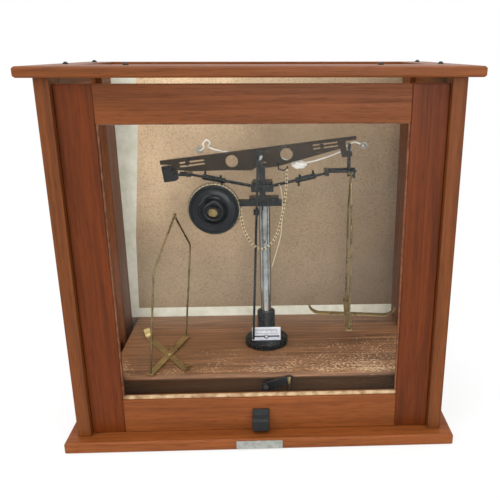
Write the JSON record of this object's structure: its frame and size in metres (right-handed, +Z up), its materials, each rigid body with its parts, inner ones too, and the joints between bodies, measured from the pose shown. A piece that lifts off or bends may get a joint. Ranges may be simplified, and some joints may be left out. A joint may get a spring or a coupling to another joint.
{
  "type": "equal-arm beam balance in a glazed case",
  "caption": "Equal-arm knife-edge beam balance with a chain wheel and wire pan hangers, standing in a glazed wooden case with a rising front sash.",
  "frame": {"origin": "centre of the bounding box, on the underside of the plinth", "axes": "+X along the width, to the right as seen from the front; +Y towards the back; +Z up"},
  "size_m": [0.447, 0.252, 0.4251],
  "materials": {
    "wood_rail": "satin varnish",
    "wood_stile": "satin varnish",
    "wood_plinth": "satin varnish",
    "wood_floor": "worn varnish",
    "board": "matt hardboard",
    "tape": "matt",
    "bead": "worn",
    "glass": "clear",
    "black": "black lacquer",
    "rubber": "dull",
    "plate": "white, printed divisions",
    "label": "satin",
    "nickel": "polished nickel",
    "steel": "bright",
    "agate": "polished",
    "bronze": "dark, dull",
    "brass": "dull",
    "chain": "bright",
    "cord": "white cotton",
    "thread": "pale"
  },
  "bodies": {
    "case": {"plinth": "wood_plinth", "name_plate": "label", "post_front_left": "wood_rail", "post_front_right": "wood_rail", "post_rear_left": "wood_rail", "post_rear_right": "wood_rail", "side_sill_left": "wood_rail", "side_sill_right": "wood_rail", "side_head_left": "wood_rail", "side_head_right": "wood_rail", "side_glass_left": "glass", "side_glass_right": "glass", "back_panel": "board", "back_tape": "tape", "top_strip": "wood_rail", "top_frame": "wood_rail", "top_glass": "glass", "top_screws": "black", "floor_board": "wood_floor", "floor_bearers": "wood_floor", "foot_disc": "black", "sleeve": "black", "column": "nickel", "scale_plate": "plate", "cross_bar": "black", "pillar_head": "black", "agate_planes": "agate", "wheel_axle": "steel"},
    "sash": {"sash_stile_left": "wood_stile", "sash_stile_right": "wood_stile", "sash_rail_top": "wood_rail", "sash_rail_bottom": "wood_rail", "sash_glass": "glass", "sash_bead": "bead", "sash_pull": "rubber"},
    "arrest": {"arrest_hub": "black", "arrest_arm_left": "black", "arrest_arm_right": "black", "loose_thread": "thread"},
    "release": {"release_shaft": "steel", "handle_arm": "black", "handle_pin": "brass"},
    "beam": {"beam": "bronze", "beam_knife": "steel", "beam_end_left": "black", "beam_end_right": "steel", "chain_hook": "black", "pointer_screw": "steel", "free_chain": "chain", "tie_cord": "cord", "tie_wrap": "cord"},
    "pointer": {"pointer": "black"},
    "wheel": {"chain_wheel": "black", "wheel_screw": "brass", "wound_chain": "chain"},
    "stirrup": {"right_stirrup": "black"},
    "right_hanger": {"right_bow": "brass", "right_cross": "brass"},
    "left_hanger": {"left_bow": "brass", "left_cross": "brass"}
  },
  "joints": [
    {"name": "sash_lift", "type": "slide", "parent": "case", "child": "sash", "axis": [0, 0, 1], "range_m": [0, 0.25]},
    {"name": "release_turn", "type": "hinge", "parent": "case", "child": "release", "pos_m": [0.006, -0.08, 0.058], "axis": [0, 1, 0], "range_deg": [-60, 0]},
    {"name": "arrest_drop", "type": "slide", "parent": "case", "child": "arrest", "axis": [0, 0, 1], "range_m": [-0.004, 0]},
    {"name": "beam_rock", "type": "hinge", "parent": "case", "child": "beam", "pos_m": [0.0027, 0.01, 0.3116], "axis": [0, 1, 0], "range_deg": [0, 8.3], "deforming": ["free_chain"]},
    {"name": "pointer_slip", "type": "hinge", "parent": "beam", "child": "pointer", "pos_m": [0.00045, -0.0054, 0.3219], "axis": [0, 1, 0], "range_deg": [-11, 3]},
    {"name": "stirrup_rock", "type": "hinge", "parent": "beam", "child": "stirrup", "pos_m": [0.1096, 0.01, 0.3272], "axis": [0, 1, 0], "range_deg": [-8.4, 0]},
    {"name": "hanger_swing", "type": "hinge", "parent": "stirrup", "child": "right_hanger", "pos_m": [0.1096, 0.01, 0.2917], "axis": [1, 0, 0], "range_deg": [-6, 6]},
    {"name": "left_hanger_lift", "type": "slide", "parent": "case", "child": "left_hanger", "axis": [0, 0, 1], "range_m": [0, 0.03]},
    {"name": "wheel_turn", "type": "hinge", "parent": "case", "child": "wheel", "pos_m": [-0.053, -0.01, 0.256], "axis": [0, 1, 0], "range_deg": [-150, 150]}
  ],
  "couplings": [
    {"joint": "release_turn", "follows": "arrest_drop", "rad_per_m": 261.79},
    {"joint": "stirrup_rock", "follows": "beam_rock", "ratio": -1}
  ]
}
